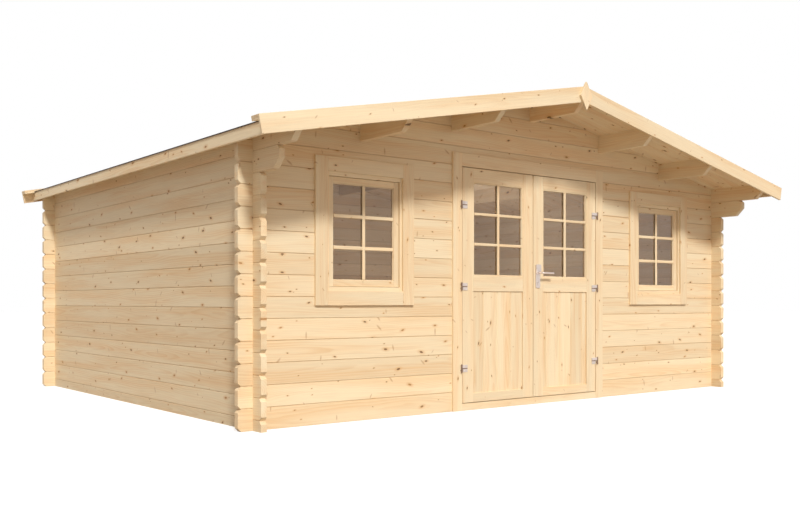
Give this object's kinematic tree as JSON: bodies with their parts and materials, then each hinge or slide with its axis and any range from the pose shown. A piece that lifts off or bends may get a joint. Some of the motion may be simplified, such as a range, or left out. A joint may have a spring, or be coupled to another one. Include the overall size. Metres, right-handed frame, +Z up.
{
  "type": "log cabin",
  "caption": "Garden log cabin with interlocking log walls, low gable roof, deep front overhang, glazed double door and small casement windows.",
  "frame": {"origin": "on the ground, under the middle of the roof's outline", "axes": "+X across the gable towards the right of the front, +Y from the front door to the back wall, +Z up"},
  "size_m": [5.3, 4.484, 2.3565],
  "materials": {
    "spruce_logs": "planed untreated spruce logs",
    "spruce_boards": "planed untreated spruce boards",
    "bitumen_shingles": "mineral-faced bitumen shingles",
    "window_glass": "clear float glass",
    "zinc_plated_steel": "bright zinc-plated steel"
  },
  "bodies": {
    "cabin": {"left_wall": "spruce_logs", "left_corbel_log": "spruce_logs", "left_wall_plate": "spruce_logs", "right_wall": "spruce_logs", "right_corbel_log": "spruce_logs", "right_wall_plate": "spruce_logs", "front_wall_left": "spruce_logs", "front_wall_right": "spruce_logs", "front_gable": "spruce_logs", "back_wall": "spruce_logs", "back_gable": "spruce_logs", "ridge_purlin": "spruce_logs", "left_purlins": "spruce_logs", "right_purlins": "spruce_logs", "left_roof_boards": "spruce_boards", "right_roof_boards": "spruce_boards", "left_shingles": "bitumen_shingles", "right_shingles": "bitumen_shingles", "ridge_shingles": "bitumen_shingles", "left_eave_fascia": "spruce_boards", "right_eave_fascia": "spruce_boards", "front_left_bargeboard": "spruce_boards", "front_right_bargeboard": "spruce_boards", "back_left_bargeboard": "spruce_boards", "back_right_bargeboard": "spruce_boards", "left_verge_caps": "spruce_boards", "right_verge_caps": "spruce_boards", "finials": "spruce_boards", "floor_boards": "spruce_boards", "floor_bearers": "spruce_boards", "window_frames": "spruce_boards", "window_architraves": "spruce_boards", "window_sashes": "spruce_boards", "window_glass": "window_glass", "door_frame": "spruce_boards", "door_stops": "spruce_boards", "door_architrave": "spruce_boards", "door_hinge_pins": "zinc_plated_steel"},
    "left_leaf": {"left_leaf_frame": "spruce_boards", "left_leaf_panel": "spruce_boards", "left_leaf_glass": "window_glass", "left_leaf_hinges": "zinc_plated_steel"},
    "right_leaf": {"right_leaf_frame": "spruce_boards", "right_leaf_panel": "spruce_boards", "right_leaf_glass": "window_glass", "right_leaf_hinges": "zinc_plated_steel", "handle_plates": "zinc_plated_steel"},
    "lever": {"lever_handle": "zinc_plated_steel"}
  },
  "joints": [
    {"name": "left_leaf_swing", "type": "hinge", "parent": "cabin", "child": "left_leaf", "pos_m": [-0.735, -1.722, 0.8875], "axis": [0, 0, -1], "range_deg": [0, 105]},
    {"name": "right_leaf_swing", "type": "hinge", "parent": "cabin", "child": "right_leaf", "pos_m": [0.735, -1.722, 0.8875], "axis": [0, 0, 1], "range_deg": [0, 105]},
    {"name": "lever_turn", "type": "hinge", "parent": "right_leaf", "child": "lever", "pos_m": [0.0485, -1.694, 1], "axis": [0, 1, 0], "range_deg": [0, 40], "stiffness_Nm_per_rad": 1.5, "springref_deg": -22.92}
  ]
}
